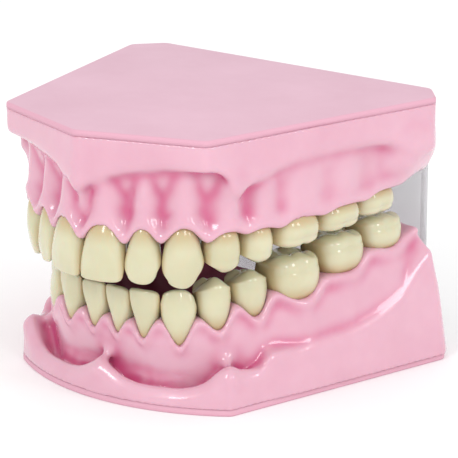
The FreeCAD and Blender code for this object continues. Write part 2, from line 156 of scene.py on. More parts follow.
# Crown outlines from inside the gum (share < 0) over the neck (0) to the tip (1). Each row is the share of
# the height, then half the width as a share of the width, then how far the lip side and the tongue side
# stand from the crown's centre, as shares of the depth.
CROWNS = {
    "upper_central": (
        (-0.30, 0.28, 0.10, -0.36), (0.0, 0.37, 0.38, -0.46), (0.12, 0.42, 0.44, -0.49),
        (0.3, 0.465, 0.49, -0.46), (0.5, 0.492, 0.50, -0.26), (0.7, 0.50, 0.49, -0.02),
        (0.88, 0.494, 0.465, 0.16), (1.0, 0.478, 0.44, 0.27),
    ),
    "upper_lateral": (
        (-0.30, 0.26, 0.10, -0.36), (0.0, 0.33, 0.39, -0.46), (0.12, 0.37, 0.44, -0.49),
        (0.3, 0.43, 0.48, -0.44), (0.5, 0.48, 0.50, -0.24), (0.7, 0.50, 0.49, 0.0),
        (0.88, 0.475, 0.46, 0.17), (1.0, 0.40, 0.43, 0.27),
    ),
    "upper_canine": (
        (-0.30, 0.28, 0.14, -0.36), (0.0, 0.35, 0.43, -0.46), (0.12, 0.39, 0.48, -0.49),
        (0.3, 0.445, 0.51, -0.44), (0.5, 0.49, 0.51, -0.30), (0.68, 0.50, 0.48, -0.12),
        (0.86, 0.46, 0.43, 0.06), (1.0, 0.36, 0.37, 0.16),
    ),
    "lower_incisor": (
        (-0.30, 0.16, 0.06, -0.36), (0.0, 0.245, 0.37, -0.44), (0.12, 0.30, 0.42, -0.46),
        (0.3, 0.37, 0.46, -0.42), (0.5, 0.435, 0.48, -0.24), (0.7, 0.478, 0.48, 0.0),
        (0.88, 0.497, 0.47, 0.17), (1.0, 0.49, 0.45, 0.25),
    ),
    "lower_canine": (
        (-0.30, 0.18, 0.10, -0.36), (0.0, 0.27, 0.39, -0.45), (0.12, 0.34, 0.45, -0.48),
        (0.3, 0.43, 0.50, -0.44), (0.5, 0.49, 0.51, -0.30), (0.7, 0.50, 0.48, -0.08),
        (0.88, 0.488, 0.43, 0.10), (1.0, 0.44, 0.37, 0.20),
    ),
    "upper_premolar": (
        (-0.30, 0.32, 0.24, -0.34), (0.0, 0.41, 0.45, -0.45), (0.15, 0.45, 0.485, -0.48),
        (0.35, 0.485, 0.50, -0.50), (0.55, 0.50, 0.49, -0.49), (0.66, 0.495, 0.47, -0.47),
    ),
    "lower_premolar": (
        (-0.30, 0.23, 0.20, -0.34), (0.0, 0.33, 0.43, -0.44), (0.15, 0.395, 0.48, -0.47),
        (0.35, 0.46, 0.50, -0.49), (0.55, 0.495, 0.49, -0.49), (0.68, 0.495, 0.46, -0.46),
    ),
    "upper_molar": (
        (-0.30, 0.36, 0.30, -0.36), (0.0, 0.43, 0.45, -0.45), (0.15, 0.465, 0.485, -0.48),
        (0.35, 0.49, 0.50, -0.50), (0.52, 0.50, 0.49, -0.49), (0.62, 0.495, 0.47, -0.47),
    ),
    "lower_molar": (
        (-0.30, 0.34, 0.30, -0.36), (0.0, 0.42, 0.46, -0.45), (0.15, 0.46, 0.49, -0.48),
        (0.35, 0.49, 0.50, -0.50), (0.52, 0.50, 0.49, -0.49), (0.62, 0.495, 0.46, -0.47),
    ),
}
# How the biting edge of a front tooth falls away to its corners: drop in mm, and the power of the curve
EDGE_FALL = {
    "upper_central": (0.75, 5.0),
    "upper_lateral": (1.7, 3.0),
    "upper_canine": (1.9, 2.3),
    "lower_incisor": (0.45, 5.0),
    "lower_canine": (1.3, 2.5),
}
# Cusps: place across the width and the depth (shares of the half sizes, front and cheek positive), and height
CUSPS = {
    "upper_premolar": ((0.0, 0.50, 1.0), (0.0, -0.52, 0.86)),
    "lower_premolar": ((0.0, 0.42, 1.0), (0.15, -0.60, 0.62), (-0.35, -0.58, 0.55)),
    "upper_molar": ((0.46, 0.55, 1.0), (-0.42, 0.55, 0.96), (0.40, -0.50, 0.92), (-0.50, -0.55, 0.72)),
    "lower_molar": (
        (0.50, 0.50, 1.0), (-0.06, 0.56, 0.97), (-0.62, 0.42, 0.82),
        (0.45, -0.58, 0.94), (-0.42, -0.58, 0.90),
    ),
}
PEG_SHARE = (0.31, 0.27)
SCREW_BORE_R = 0.86
SCREW_BORE_DEPTH = 4.0
AROUND = 64  # points round a crown
CROWN_FOOT = -0.30  # share of the height where a crown starts, inside the gum
PEG_CHAMFER = 0.25
EDGE_ROUND = 0.45  # how far a front tooth's edge domes past its last row


class Tooth:
    def __init__(self, jaw, arch, name, s, sizes):
        self.jaw, self.arch, self.name, self.s = jaw, arch, name, s
        self.width, self.depth, self.inset, self.peg_inset, self.neck, self.zenith, self.shape = sizes
        low, high = box_mm(f"{jaw}_left_{name}")
        self.tip = high[2] if arch.side > 0 else low[2]
        self.root = low[2] if arch.side > 0 else high[2]
        self.rows = np.array(CROWNS[self.shape])

    def height(self, share):
        return self.neck + (self.tip - self.neck) * share

    def share(self, z):
        return (z - self.neck) / (self.tip - self.neck)

    def outline(self, share):
        """Half width, and the lip and tongue sides as distances out from the contact line, in mm."""
        half, lip, tongue = (smooth_rows(self.rows[:, 0], self.rows[:, k], share) for k in (1, 2, 3))
        return half * self.width, lip * self.depth - self.inset, tongue * self.depth - self.inset


def smooth_rows(xs, ys, x):
    """Smooth curve through the rows (cubic Hermite with averaged slopes)."""
    x = np.clip(x, xs[0], xs[-1])
    step = np.diff(xs)
    chord = np.diff(ys) / step
    slope = np.concatenate([[chord[0]], (chord[1:] + chord[:-1]) / 2, [chord[-1]]])
    i = np.clip(np.searchsorted(xs, x, side="right") - 1, 0, len(step) - 1)
    t = (x - xs[i]) / step[i]
    low = ys[i] * (1 + 2 * t) * (1 - t) ** 2 + step[i] * slope[i] * t * (1 - t) ** 2
    high = ys[i + 1] * t * t * (3 - 2 * t) + step[i] * slope[i + 1] * t * t * (t - 1)
    return low + high


def smooth_step(x, low, high):
    """0 below low, 1 above high, and an S curve between them."""
    t = np.clip((x - low) / (high - low), 0, 1)
    return t * t * (3 - 2 * t)


def make_teeth(jaw, arch, sizes):
    teeth = []
    run = 0.0
    for name, row in sizes.items():
        teeth.append(Tooth(jaw, arch, name, run + row[0] / 2, row))
        run += row[0]
    return teeth


# ---- materials ----
class Nodes:
    """Short helpers for one material's node tree."""

    def __init__(self, name):
        self.material = bpy.data.materials.new(name)
        self.material.use_nodes = True
        self.tree = self.material.node_tree
        self.shader = self.tree.nodes["Principled BSDF"]

    def add(self, kind, **values):
        node = self.tree.nodes.new(kind)
        for key, value in values.items():
            if hasattr(node, key):
                setattr(node, key, value)
            else:
                node.inputs[key.replace("_", " ").title()].default_value = value
        return node

    def link(self, out, into):
        self.tree.links.new(out, into)

    def coords(self):
        return self.add("ShaderNodeTexCoord").outputs["Object"]

    def noise(self, scale, detail=3.0, vector=None):
        node = self.add("ShaderNodeTexNoise", scale=scale, detail=detail)
        self.link(vector or self.coords(), node.inputs["Vector"])
        return node.outputs["Fac"]

    def ramp(self, value, low, high, dark, bright):
        """Colour between dark at value low and bright at value high."""
        node = self.add("ShaderNodeValToRGB")
        node.color_ramp.elements[0].position = low
        node.color_ramp.elements[0].color = (*dark, 1)
        node.color_ramp.elements[1].position = high
        node.color_ramp.elements[1].color = (*bright, 1)
        self.link(value, node.inputs["Fac"])
        return node.outputs["Color"]

    def scaled(self, value, low, high):
        node = self.add("ShaderNodeMapRange")
        node.inputs["To Min"].default_value = low
        node.inputs["To Max"].default_value = high
        self.link(value, node.inputs["Value"])
        return node.outputs["Result"]

    def mix(self, factor, a, b, blend="MIX"):
        node = self.add("ShaderNodeMix", data_type="RGBA", blend_type=blend)
        for value, socket in ((factor, node.inputs[0]), (a, node.inputs[6]), (b, node.inputs[7])):
            if isinstance(value, bpy.types.NodeSocket):
                self.link(value, socket)
            elif isinstance(value, tuple):
                socket.default_value = (*value, 1)
            else:
                socket.default_value = value
        return node.outputs[2]

    def attribute(self, name):
        node = self.add("ShaderNodeAttribute", attribute_name=name)
        return node.outputs["Fac"]

    def bump(self, height, distance, strength=1.0):
        node = self.add("ShaderNodeBump")
        node.inputs["Strength"].default_value = strength
        node.inputs["Distance"].default_value = distance
        self.link(height, node.inputs["Height"])
        self.link(node.outputs["Normal"], self.shader.inputs["Normal"])

    def set(self, **values):
        for key, value in values.items():
            self.shader.inputs[key.replace("_", " ")].default_value = value


def srgb(r, g, b):
    """Linear colour from 0..255 display values."""
    return tuple((v / 255 / 12.92) if v <= 10 else ((v / 255 + 0.055) / 1.055) ** 2.4 for v in (r, g, b))


def gum_material():
    n = Nodes("gum_pink")
    mottle = n.ramp(n.noise(90, 4.0), 0.3, 0.7, srgb(210, 157, 175), srgb(216, 167, 184))
    # Painted shade: the gum darkens to deep rose where its surface is hollow, standing in for shade in
    # recesses.
    deep = n.mix(n.attribute("cavity"), mottle, srgb(196, 78, 124))
    # Painted shade: on the tongue side and over the palate the gum turns dark maroon, standing in for the
    # shade inside the closed mouth; there it is also matte and uncoated.
    mouth_shade = n.attribute("mouth_shade")
    inner = n.mix(mouth_shade, deep, srgb(124, 20, 56))
    n.link(inner, n.shader.inputs["Base Color"])
    sheen = n.scaled(n.noise(160, 2.0), 0.16, 0.27)
    n.link(n.mix(mouth_shade, sheen, (0.7, 0.7, 0.7)), n.shader.inputs["Roughness"])
    n.link(n.scaled(mouth_shade, 0.6, 0.0), n.shader.inputs["Coat Weight"])
    n.set(Subsurface_Weight=0.12, Subsurface_Scale=0.002, Coat_Roughness=0.05)
    n.bump(n.noise(420, 3.0), 0.00006, 0.2)
    return n.material


def cover_material():
    n = Nodes("cover_mauve")
    # Painted reflection: the flat face's paler mauve stands for the bright surroundings reflected in it,
    # while the rounded edge takes the walls' pink.
    tone = n.ramp(n.noise(60, 5.0), 0.3, 0.7, srgb(208, 167, 183), srgb(214, 174, 190))
    edge = n.mix(n.attribute("rim"), tone, srgb(213, 160, 178))
    n.link(edge, n.shader.inputs["Base Color"])
    n.link(n.scaled(n.noise(300, 3.0), 0.5, 0.68), n.shader.inputs["Roughness"])
    n.bump(n.noise(1500, 4.0), 0.00008, 0.5)
    return n.material


def tooth_material():
    n = Nodes("tooth_ivory")
    body = n.ramp(n.noise(120, 3.0), 0.3, 0.7, srgb(197, 192, 158), srgb(205, 201, 169))
    # Darker amber towards each tooth's neck and towards its sides, where it meets its neighbours.
    warm = n.mix(n.attribute("warmth"), body, srgb(176, 136, 72))
    n.link(warm, n.shader.inputs["Base Color"])
    n.link(n.scaled(n.noise(260, 2.0), 0.12, 0.22), n.shader.inputs["Roughness"])
    n.set(Subsurface_Weight=0.25, Subsurface_Scale=0.0016, Coat_Weight=0.6, Coat_Roughness=0.04)
    n.bump(n.noise(700, 2.0), 0.00004, 0.3)
    return n.material


def sheet_material():
    n = Nodes("clear_sheet")
    haze = n.ramp(n.noise(40, 2.0), 0.3, 0.7, srgb(196, 194, 200), srgb(206, 204, 210))
    n.link(haze, n.shader.inputs["Base Color"])
    n.link(n.scaled(n.noise(120, 3.0), 0.04, 0.10), n.shader.inputs["Roughness"])
    n.set(Transmission_Weight=0.6, IOR=1.45, Alpha=0.6)
    n.bump(n.noise(60, 2.0), 0.00005, 0.2)
    return n.material


def steel_material():
    n = Nodes("screw_steel")
    tone = n.ramp(n.noise(700, 3.0), 0.3, 0.7, srgb(168, 168, 170), srgb(198, 198, 200))
    n.link(tone, n.shader.inputs["Base Color"])
    n.link(n.scaled(n.noise(900, 4.0), 0.24, 0.42), n.shader.inputs["Roughness"])
    n.set(Metallic=1.0)
    n.bump(n.noise(2500, 3.0), 0.00003, 0.3)
    return n.material


MATERIALS = {
    "gum_pink": gum_material(),
    "cover_mauve": cover_material(),
    "tooth_ivory": tooth_material(),
    "clear_sheet": sheet_material(),
    "screw_steel": steel_material(),
}


# ---- making pieces ----
def make_piece(name, points_mm, faces, slot, body, nodes, attributes=None):
    """Mesh object from points in millimetres, standing for CAD nodes; it rides on body if one is given."""
    mesh = bpy.data.meshes.new(name)
    mesh.from_pydata((np.asarray(points_mm) * MM).tolist(), [], faces)
    obj = bpy.data.objects.new(name, mesh)
    bpy.context.scene.collection.objects.link(obj)
    for key, values in (attributes or {}).items():
        mesh.attributes.new(key, "FLOAT", "POINT").data.foreach_set("value", np.asarray(values, np.float32))
    work = bmesh.new()
    work.from_mesh(mesh)
    bmesh.ops.recalc_face_normals(work, faces=work.faces)
    work.to_mesh(mesh)
    work.free()
    mesh.shade_smooth()
    mesh.materials.append(MATERIALS[slot])
    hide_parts(*nodes)
    if body:
        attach(obj, body)
    return obj


def ring_faces(rings, count):
    """Quads between neighbouring rings of count points each."""
    faces = []
    for r in range(rings - 1):
        for i in range(count):
            j = (i + 1) % count
            faces.append((r * count + i, r * count + j, (r + 1) * count + j, (r + 1) * count + i))
    return faces


# ---- teeth ----
def superellipse(power):
    """Points round a unit superellipse, a circle when power is 2."""
    angle = np.arange(AROUND) * 2 * math.pi / AROUND
    c, s = np.cos(angle), np.sin(angle)
    return np.sign(c) * np.abs(c) ** (2 / power), np.sign(s) * np.abs(s) ** (2 / power)


def crown_ring(tooth, share, power):
    """u, d of one ring: u is the place across the width in mm, d the distance out."""
    half, lip, tongue = tooth.outline(share)
    c, s = superellipse(power)
    middle, deep = (lip + tongue) / 2, (lip - tongue) / 2
    return c * half, middle + s * deep


def front_tooth_rings(tooth):
    """Rings of an incisor or canine, its edge falling away to the corners and its tongue side hollow."""
    fall, power = EDGE_FALL[tooth.shape]
    rings = []
    shares = np.concatenate([np.linspace(CROWN_FOOT, 0.0, 5), np.linspace(0.05, 1.0, 26)])
    for share in shares:
        u, d = crown_ring(tooth, share, 2.2 + 0.7 * np.clip(share, 0, 1))
        rings.append((u, d, tooth_edge_z(tooth, share, u, fall, power)))
    for turn in (0.35, 0.65, 0.88, 1.0):
        shrink = math.cos(turn * math.pi / 2)
        u, d = crown_ring(tooth, 1.0, 2.9)
        middle = d.mean()
        edge = EDGE_ROUND * math.sin(turn * math.pi / 2)
        half = np.abs(u).max()
        u = np.sign(u) * np.maximum(np.abs(u) - (1 - shrink) * 0.6, 0) if turn < 1 else u * 0.93
        d = middle + (d - middle) * shrink
        z = tooth_edge_z(tooth, 1.0, u, fall, power, half) + tooth.arch.side * edge
        rings.append((u, d, z))
    return rings


def tooth_edge_z(tooth, share, u, fall, power, half=None):
    """Height of a front tooth's ring, falling towards its corners, most on the one away from the midline."""
    half = half or max(np.abs(u).max(), 1e-6)
    side = tooth.arch.side
    tip_room = EDGE_ROUND * np.clip(share, 0, 1)
    distal = 1 + 0.35 * np.sign(u)
    drop = fall * distal * np.abs(u / half) ** power * smooth_step(share, 0.35, 1.0)
    return tooth.height(share) - side * (tip_room + drop) + 0 * u


def back_tooth_rings(tooth):
    """Rings of a premolar or molar: walls up to the last row, then a dome cut down to the cusps."""
    top = tooth.rows[-1, 0]
    power = 2.9 if "molar" in tooth.shape and "pre" not in tooth.shape else 2.35
    rings = []
    shares = np.concatenate([np.linspace(CROWN_FOOT, 0.0, 5), np.linspace(0.04, top, 14)])
    for share in shares:
        u, d = crown_ring(tooth, share, power)
        rings.append((u, d, tooth.height(share) + 0 * u))
    half, lip, tongue = tooth.outline(top)
    middle, deep = (lip + tongue) / 2, (lip - tongue) / 2
    c, s = superellipse(power)
    dome_power = 2.5
    for turn in np.linspace(0.06, 1.0, 24):
        shrink = max(math.cos(turn * math.pi / 2), 0) ** (2 / dome_power)
        lift = math.sin(turn * math.pi / 2) ** (2 / dome_power)
        u, v = c * shrink, s * shrink
        lifted = soft_min(lift + 0 * u, cusp_height(tooth, u, v), 0.10)
        z = tooth.height(top) + (tooth.tip - tooth.height(top)) * lifted
        rings.append((u * half, middle + v * deep, z))
    return rings


def cusp_height(tooth, u, v):
    """Height of the chewing surface, 0 at the crown's shoulder and 1 at the tallest cusp."""
    total = 0
    for cu, cv, high in CUSPS[tooth.shape]:
        gap = ((-u - cu) * 1.05) ** 2 + (v - cv) ** 2
        total = total + np.exp(16 * (high - 0.95 * np.sqrt(gap + 0.02)))
    return np.log(total) / 16 + 0.10


def soft_min(a, b, k):
    """Smaller of two values, blended where they are within k of each other."""
    h = np.clip(0.5 + 0.5 * (b - a) / k, 0, 1)
    return b * (1 - h) + a * h - k * h * (1 - h)


def soft_max(a, b, k):
    return -soft_min(-a, -b, k)


def peg_rings(tooth):
    """The peg below the crown and its screw bore, from the bore's end up to the crown."""
    c, s = superellipse(2.0)
    side = tooth.arch.side
    centre = -tooth.peg_inset
    wide, deep = PEG_SHARE[0] * tooth.width, PEG_SHARE[1] * tooth.depth
    shoulder = tooth.height(CROWN_FOOT) - side * PEG_CHAMFER
    bore_end = tooth.root + side * SCREW_BORE_DEPTH
    steps = (
        (0.01, 0.01, bore_end),
        (SCREW_BORE_R, SCREW_BORE_R, bore_end),
        (SCREW_BORE_R, SCREW_BORE_R, tooth.root),
        (wide - PEG_CHAMFER, deep - PEG_CHAMFER, tooth.root),
        (wide, deep, tooth.root + side * PEG_CHAMFER),
        (wide, deep, shoulder),
    )
    return [(c * a, centre + s * b, z + 0 * c) for a, b, z in steps]


def tooth_piece(tooth, side_name, sign):
    """One tooth on the left (sign 1) or right (-1): screw bore, peg and crown as one closed skin."""
    front = tooth.shape in EDGE_FALL
    crown = front_tooth_rings(tooth) if front else back_tooth_rings(tooth)
    rings = peg_rings(tooth) + crown
    points = []
    warmth = []
    for u, d, z in rings:
        u, d = press_detail(tooth, u, d, z)
        x, y = tooth.arch.place(sign * (tooth.s + u), d)
        points.append(np.stack([x, y, z], 1))
        neck = 1 - smooth_step(tooth.share(z), -0.05, 0.35)
        between = smooth_step(np.abs(u) / (tooth.width / 2), 0.72, 1.0)
        warmth.append(np.clip(0.55 * neck + 0.45 * between, 0, 1))
    count = len(rings) * AROUND
    faces = ring_faces(len(rings), AROUND)
    points = np.concatenate(points)
    points = np.concatenate([points, points[:AROUND].mean(0)[None], points[-AROUND:].mean(0)[None]])
    for i in range(AROUND):
        j = (i + 1) % AROUND
        faces.append((count, j, i))
        faces.append((count + 1, count - AROUND + i, count - AROUND + j))
    warmth = np.concatenate(warmth + [[0, 0]])
    node = f"{tooth.jaw}_{side_name}_{tooth.name}"
    body = UPPER_BODY if tooth.jaw == "upper" else LOWER_BODY
    return make_piece(f"tooth_{node}", points, faces, "tooth_ivory", body, [node], {"warmth": warmth})


def press_detail(tooth, u, d, z):
    """Shallow furrows down the lip side, and the groove between a molar's cheek cusps."""
    share = np.clip(tooth.share(z), 0, 1)
    lip = smooth_step(d, -tooth.inset, -tooth.inset + 0.4 * tooth.depth)
    across = u / (tooth.width / 2)
    if tooth.shape in EDGE_FALL:
        lobes = 0.07 * np.cos(across * math.pi * 2.6) * smooth_step(share, 0.3, 0.7)
        return u, d + lobes * lip
    if "premolar" in tooth.shape:
        ridge = 0.22 * np.exp(-((across / 0.35) ** 2)) * smooth_step(share, 0.2, 0.6)
        return u, d + (ridge - 0.11) * lip
    groove = 0.5 * np.exp(-(((across - 0.05) / 0.13) ** 2)) * smooth_step(share, 0.25, 0.7)
    return u, d - groove * lip


# ---- gum grids ----
def surface_nets(field, origin, cell):
    """Quad mesh of the field's zero surface, one point per mixed cell."""
    inside = field < 0
    shape = np.array(field.shape) - 1
    corners = [(i, j, k) for i in (0, 1) for j in (0, 1) for k in (0, 1)]

    def part(array, c):
        return array[c[0]:c[0] + shape[0], c[1]:c[1] + shape[1], c[2]:c[2] + shape[2]]

    count_in = sum(part(inside, c).astype(np.int8) for c in corners)
    mixed = np.nonzero((count_in > 0) & (count_in < 8))
    total = np.zeros((len(mixed[0]), 3))
    hits = np.zeros(len(mixed[0]))
    values = {c: part(field, c)[mixed].astype(float) for c in corners}
    for a in corners:
        for axis in range(3):
            if a[axis]:
                continue
            b = tuple(v + (k == axis) for k, v in enumerate(a))
            va, vb = values[a], values[b]
            cross = (va < 0) != (vb < 0)
            t = np.where(cross, va / np.where(cross, va - vb, 1), 0)
            point = np.array(a, float) + t[:, None] * (np.array(b) - np.array(a))
            total += point * cross[:, None]
            hits += cross
    points = (np.stack(mixed, 1) + total / hits[:, None]) * cell + origin
    index = np.full(tuple(shape), -1, np.int64)
    index[mixed] = np.arange(len(points))
    quads = []
    for axis in range(3):
        o1, o2 = [k for k in range(3) if k != axis]
        ahead = np.roll(inside, -1, axis)
        change = inside != ahead
        low = [slice(1, -1)] * 3
        low[axis] = slice(0, -1)
        edge = np.nonzero(change[tuple(low)])
        at = [e + (0 if k == axis else 1) for k, e in enumerate(edge)]
        ring = []
        for da, db in ((0, 0), (1, 0), (1, 1), (0, 1)):
            cell_at = list(at)
            cell_at[o1] = at[o1] - da
            cell_at[o2] = at[o2] - db
            ring.append(index[tuple(cell_at)])
        quad = np.stack(ring, 1)
        flip = inside[tuple(at)] ^ (axis == 1)
        quad[~flip] = quad[~flip][:, ::-1]
        quads.append(quad)
    return points, np.concatenate(quads)


def polygon_distance(x, y, points, radius):
    """Signed distance to a convex outline whose corners are rounded by radius."""
    points = np.array(points)
    inner = inset_polygon(points, radius)
    best = np.full(x.shape, np.inf)
    inside = np.full(x.shape, -np.inf)
    for p, q in zip(inner, np.roll(inner, -1, 0)):
        edge = q - p
        length = np.hypot(*edge)
        rx, ry = x - p[0], y - p[1]
        t = np.clip((rx * edge[0] + ry * edge[1]) / length**2, 0, 1)
        best = np.minimum(best, np.hypot(rx - t * edge[0], ry - t * edge[1]))
        inside = np.maximum(inside, (rx * edge[1] - ry * edge[0]) / length)
    return np.where(inside < 0, -best, best) - radius


def inset_polygon(points, distance):
    """Convex anticlockwise polygon moved inwards."""
    count = len(points)
    lines = []
    for i in range(count):
        p, q = points[i], points[(i + 1) % count]
        edge = (q - p) / np.hypot(*(q - p))
        normal = np.array([-edge[1], edge[0]])
        lines.append((p + normal * distance, edge))
    moved = []
    for i in range(count):
        (p, u), (q, v) = lines[i - 1], lines[i]
        t = ((q - p)[0] * v[1] - (q - p)[1] * v[0]) / (u[0] * v[1] - u[1] * v[0])
        moved.append(p + u * t)
    return np.array(moved)


def mirrored(right):
    """Closed anticlockwise outline from its right half, which runs from the front midline to the back."""
    return [(0, right[0][1])] + list(right[1:]) + [(-x, y) for x, y in reversed(right[1:])]


UPPER_OUTLINE = mirrored([(0, -36.8), (24.7, -28.4), (38.6, 25.2), (33.6, BACK_Y)])
LOWER_ARC_R = 45.7
LOWER_FRONT_Y = -31.7
LOWER_CORNER_X = 26.4
LOWER_HEEL = (39.9, 28.0)
LOWER_HEEL_BACK = (38.2, BACK_Y)


def lower_outline():
    """Plan of the lower base: an arc across the front, then straight sides."""
    centre_y = LOWER_FRONT_Y + LOWER_ARC_R
    last = math.asin(LOWER_CORNER_X / LOWER_ARC_R)
    turns = np.linspace(0, last, 13)
    arc = [(LOWER_ARC_R * math.sin(t), centre_y - LOWER_ARC_R * math.cos(t)) for t in turns]
    return mirrored(arc + [LOWER_HEEL, LOWER_HEEL_BACK])


LOWER_OUTLINE = lower_outline()


# Degrees round from the front, and the height there of the upper base wall's lower edge
UPPER_WALL_EDGE = (
    (0.0, 42.3), (6, 44.2), (11, 45.7), (18, 46.9), (28, 47.6), (40, 47.8), (45, 46.9), (48, 45.2),
    (51.5, 42.5), (55, 43.4), (60, 44.6), (66, 46.0), (73, 46.9), (85, 47.5), (98, 47.4), (108, 46.8),
    (115, 45.6), (122, 43.6), (135, 43.0), (180, 43.0),
)
# The same for the lower base wall's upper edge
LOWER_WALL_EDGE = (
    (0.0, 6.6), (4, 5.7), (9, 4.3), (15, 3.5), (25, 3.3), (35, 3.7), (41, 5.1), (45, 7.2), (48.6, 8.1),
    (52, 7.2), (56, 7.0), (60, 7.8), (63.5, 10.0), (67, 10.3), (77, 9.8), (91, 10.3), (100, 10.7),
    (112, 12.9), (117, 14.8), (122, 18.8), (126, 21.8), (130, 24.4), (134, 26.8), (138, 28.0), (145, 28.3),
    (180, 28.3),
)


class GumGrid:
    """Points of a grid over one jaw, with their arch coordinates and the tooth that each is nearest."""

    def __init__(self, arch, teeth, papillae, low, high):
        self.arch, self.teeth = arch, teeth
        self.low = np.array(low, float)
        axes = [np.arange(a, b + GRID, GRID) for a, b in zip(low, high)]
        self.xs, self.ys, self.zs = axes
        self.x, self.y = np.meshgrid(axes[0], axes[1], indexing="ij")
        self.s, self.d = arch.coords(self.x, self.y)
        self.turn = np.degrees(np.arctan2(np.abs(self.x), -self.y))  # round from the front
        self.z = axes[2][None, None, :]
        self.run = np.abs(self.s)
        self.edges = np.concatenate([[0], np.cumsum([t.width for t in teeth])])
        self.which = np.clip(np.searchsorted(self.edges, self.run, side="right") - 1, 0, len(teeth) - 1)
        centres = np.array([t.s for t in teeth])
        halves = np.array([t.width / 2 for t in teeth])
        self.centres = centres
        self.u = (self.run - centres[self.which]) / halves[self.which]
        self.papillae = np.array(papillae)

    def along(self, values):
        """Values given per tooth, smoothly between the teeth's middles."""
        return np.interp(self.run, self.centres, values)

    def margin(self, sharp):
        """Height of the gum's scalloped edge."""
        zenith = np.array([t.zenith for t in self.teeth])[self.which]
        ahead = np.where(self.u < 0, self.papillae[self.which], self.papillae[self.which + 1])
        bend = np.array(sharp)[self.which]
        return zenith + (ahead - zenith) * np.sin(math.pi / 2 * np.minimum(np.abs(self.u), 1) ** bend)

    def bump(self):
        """1 at the middle of each tooth, 0 between the teeth."""
        return np.cos(np.clip(self.u, -1, 1) * math.pi / 2) ** 2

    def offsets(self):
        """Distance out of the gum's edge on the lip side and on the tongue side, at the teeth's necks."""
        rows = [t.outline(0.0) for t in self.teeth]
        lip = self.along([r[1] for r in rows]) + 0.42
        tongue = self.along([r[2] for r in rows]) - 0.55
        return lip, tongue


def upper_field(g):
    """Upper jaw as a distance field: gum, base wall, frenum and corner ribs, and the screws' pocket."""
    z = g.z
    margin = g.margin((2.2, 1.9, 2.0, 2.2, 2.2, 2.4, 2.4, 2.4))
    margin = margin + np.maximum(g.run - g.edges[-1], 0) * 0.9
    lip, tongue = g.offsets()
    rise = z - margin[..., None]
    bump = g.bump()[..., None]
    lean = g.along((-0.13, -0.12, -0.05, -0.02, 0.0, 0.0, 0.02, 0.06))[..., None]
    groove = g.along((1.7, 1.9, 1.9, 1.4, 1.0, 0.7, 0.6, 0.3))[..., None]
    fade = 0.2 + 0.8 * smooth_step(rise, 1.0, 5.0) * (1 - smooth_step(rise, 8.0, 13.0))
    roll = 0.55 * np.exp(-(((rise - 1.3) / 1.1) ** 2))
    out = lip[..., None] + lean * np.maximum(rise, 0) - groove * fade * (1 - bump) + roll
    skin = pocket_wall(g, *UPPER_POCKET)[..., None] + POCKET_SKIN
    skin = skin - 0.5 * np.maximum(UPPER_POCKET_Z - 1 - z, 0)
    out = soft_max(out, skin, 0.8)
    inner = tongue[..., None] - 0.16 * np.maximum(rise, 0) - 0.045 * np.maximum(rise, 0) ** 2
    d = g.d[..., None]
    gum = soft_max(soft_max(d - out, inner - d, 0.6), margin[..., None] - z, 1.0)
    outline = polygon_distance(g.x, g.y, UPPER_OUTLINE, UPPER_CORNER_ROUND)
    gum = soft_max(gum, outline[..., None] + 0.2 + 0 * z, 0.8)
    block = soft_max(outline[..., None] + 0 * z, upper_block_floor(g, outline)[..., None] - z, 1.6)
    solid = soft_min(block, gum, 1.8)
    solid = soft_min(solid, rod(g, (0, -35.2, 44.0), (0, -33.4, 38.2), 0.8), 2.0)
    for sign in (1, -1):
        solid = soft_min(solid, rod(g, (sign * 25.0, -21.4, 43.6), (sign * 23.4, -20.4, 40.4), 1.0), 2.4)
        heel = rod(g, (sign * 31.6, 21.0, 43.4), (sign * 30.6, 27.0, 42.6), 5.6)
        heel = soft_max(heel, outline[..., None], 1.0)
        solid = soft_min(solid, heel, 3.0)
    solid = np.maximum(solid, g.z - UPPER_SEAM_Z)
    solid = np.maximum(solid, g.y[..., None] - BACK_Y)
    hollow = np.maximum(pocket_plan(g, *UPPER_POCKET)[..., None], UPPER_POCKET_Z - z)
    return np.maximum(solid, -hollow)


def wall_edge(rows, turn):
    """Height of a base wall's edge at angles round from the front."""
    rows = np.array(rows)
    return smooth_rows(rows[:, 0], rows[:, 1], turn)


def upper_block_floor(g, outline):
    """Underside of the upper base: scalloped at the wall, deeper inside, and a vault over the tongue."""
    edge = wall_edge(UPPER_WALL_EDGE, g.turn)
    inside = smooth_step(-outline, 1.0, 4.5)
    vault = smooth_step(-g.d, 9.0, 16.0)
    rugae = 0.35 * np.cos(g.y * 1.25 + 0.02 * g.x**2) * smooth_step(-g.y, 6.0, 14.0) * vault
    shelf = np.minimum(edge + 1.6 * inside, 47.6)
    return shelf + (43.6 + 1.2 * smooth_step(-g.d, 14, 26) + rugae - shelf) * vault


